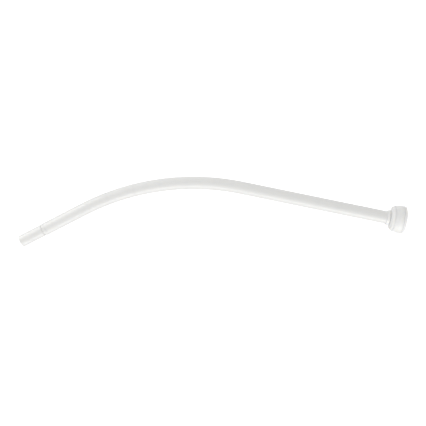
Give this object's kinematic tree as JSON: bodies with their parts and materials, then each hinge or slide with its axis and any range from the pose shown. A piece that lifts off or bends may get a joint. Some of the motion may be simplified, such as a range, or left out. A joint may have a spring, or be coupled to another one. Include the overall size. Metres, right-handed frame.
{
  "type": "saliva ejector tip",
  "caption": "Slim bendable suction tube, gently arched, with a stepped hose spigot at its rear end and a round pull-off strainer cap at its front.",
  "frame": {"origin": "On the outlet spigot's axis, at the shoulder where the suction hose stops.", "axes": "+X along the spigot's axis towards the cap, +Z square to the plane the tube bends in; the tube bends towards -Y."},
  "size_m": [0.1416, 0.0685, 0.011],
  "materials": {
    "tube_plastic": "satin, slightly translucent white",
    "cap_plastic": "soft gloss white",
    "wire_steel": "drawn wire",
    "seal_rubber": "matt white silicone"
  },
  "bodies": {
    "rear": {"outlet_spigot": "tube_plastic", "tube_rear": "tube_plastic", "wire_rear": "wire_steel"},
    "link_1": {"tube_link_1": "tube_plastic", "wire_link_1": "wire_steel"},
    "link_2": {"tube_link_2": "tube_plastic", "wire_link_2": "wire_steel"},
    "link_3": {"tube_link_3": "tube_plastic", "wire_link_3": "wire_steel"},
    "link_4": {"tube_link_4": "tube_plastic", "wire_link_4": "wire_steel"},
    "link_5": {"tube_link_5": "tube_plastic", "wire_link_5": "wire_steel"},
    "front": {"tube_front": "tube_plastic", "wire_front": "wire_steel", "cap_connector": "cap_plastic"},
    "seal": {"cap_seal": "seal_rubber"},
    "cap": {"cap_base": "cap_plastic", "cap_shell": "cap_plastic", "strainer_front": "cap_plastic"}
  },
  "joints": [
    {"name": "tube_bend_1", "type": "hinge", "parent": "rear", "child": "link_1", "pos_m": [0.02326, -0.00015, 0], "axis": [0, 0, -1], "range_deg": [-6.47, 8.5]},
    {"name": "tube_bend_2", "type": "hinge", "parent": "link_1", "child": "link_2", "pos_m": [0.03391, -0.00136, 0], "axis": [0, 0, -1], "range_deg": [-6.47, 8.5]},
    {"name": "tube_bend_3", "type": "hinge", "parent": "link_2", "child": "link_3", "pos_m": [0.04435, -0.00376, 0], "axis": [0, 0, -1], "range_deg": [-6.47, 8.5]},
    {"name": "tube_bend_4", "type": "hinge", "parent": "link_3", "child": "link_4", "pos_m": [0.05446, -0.00732, 0], "axis": [0, 0, -1], "range_deg": [-6.47, 8.5]},
    {"name": "tube_bend_5", "type": "hinge", "parent": "link_4", "child": "link_5", "pos_m": [0.0641, -0.01199, 0], "axis": [0, 0, -1], "range_deg": [-6.47, 8.5]},
    {"name": "tube_bend_6", "type": "hinge", "parent": "link_5", "child": "front", "pos_m": [0.07316, -0.01772, 0], "axis": [0, 0, -1], "range_deg": [-6.47, 8.5]},
    {"name": "cap_spin", "type": "hinge", "parent": "front", "child": "seal", "pos_m": [0.12512, -0.05915, 0], "axis": [0.8161, -0.5779, 0], "continuous": true},
    {"name": "cap_pull", "type": "slide", "parent": "seal", "child": "cap", "axis": [0.8161, -0.5779, 0], "range_m": [0, 0.012]}
  ],
  "couplings": [
    {"joint": "tube_bend_2", "follows": "tube_bend_1", "ratio": 1},
    {"joint": "tube_bend_3", "follows": "tube_bend_1", "ratio": 1},
    {"joint": "tube_bend_4", "follows": "tube_bend_1", "ratio": 1},
    {"joint": "tube_bend_5", "follows": "tube_bend_1", "ratio": 1},
    {"joint": "tube_bend_6", "follows": "tube_bend_1", "ratio": 1}
  ]
}
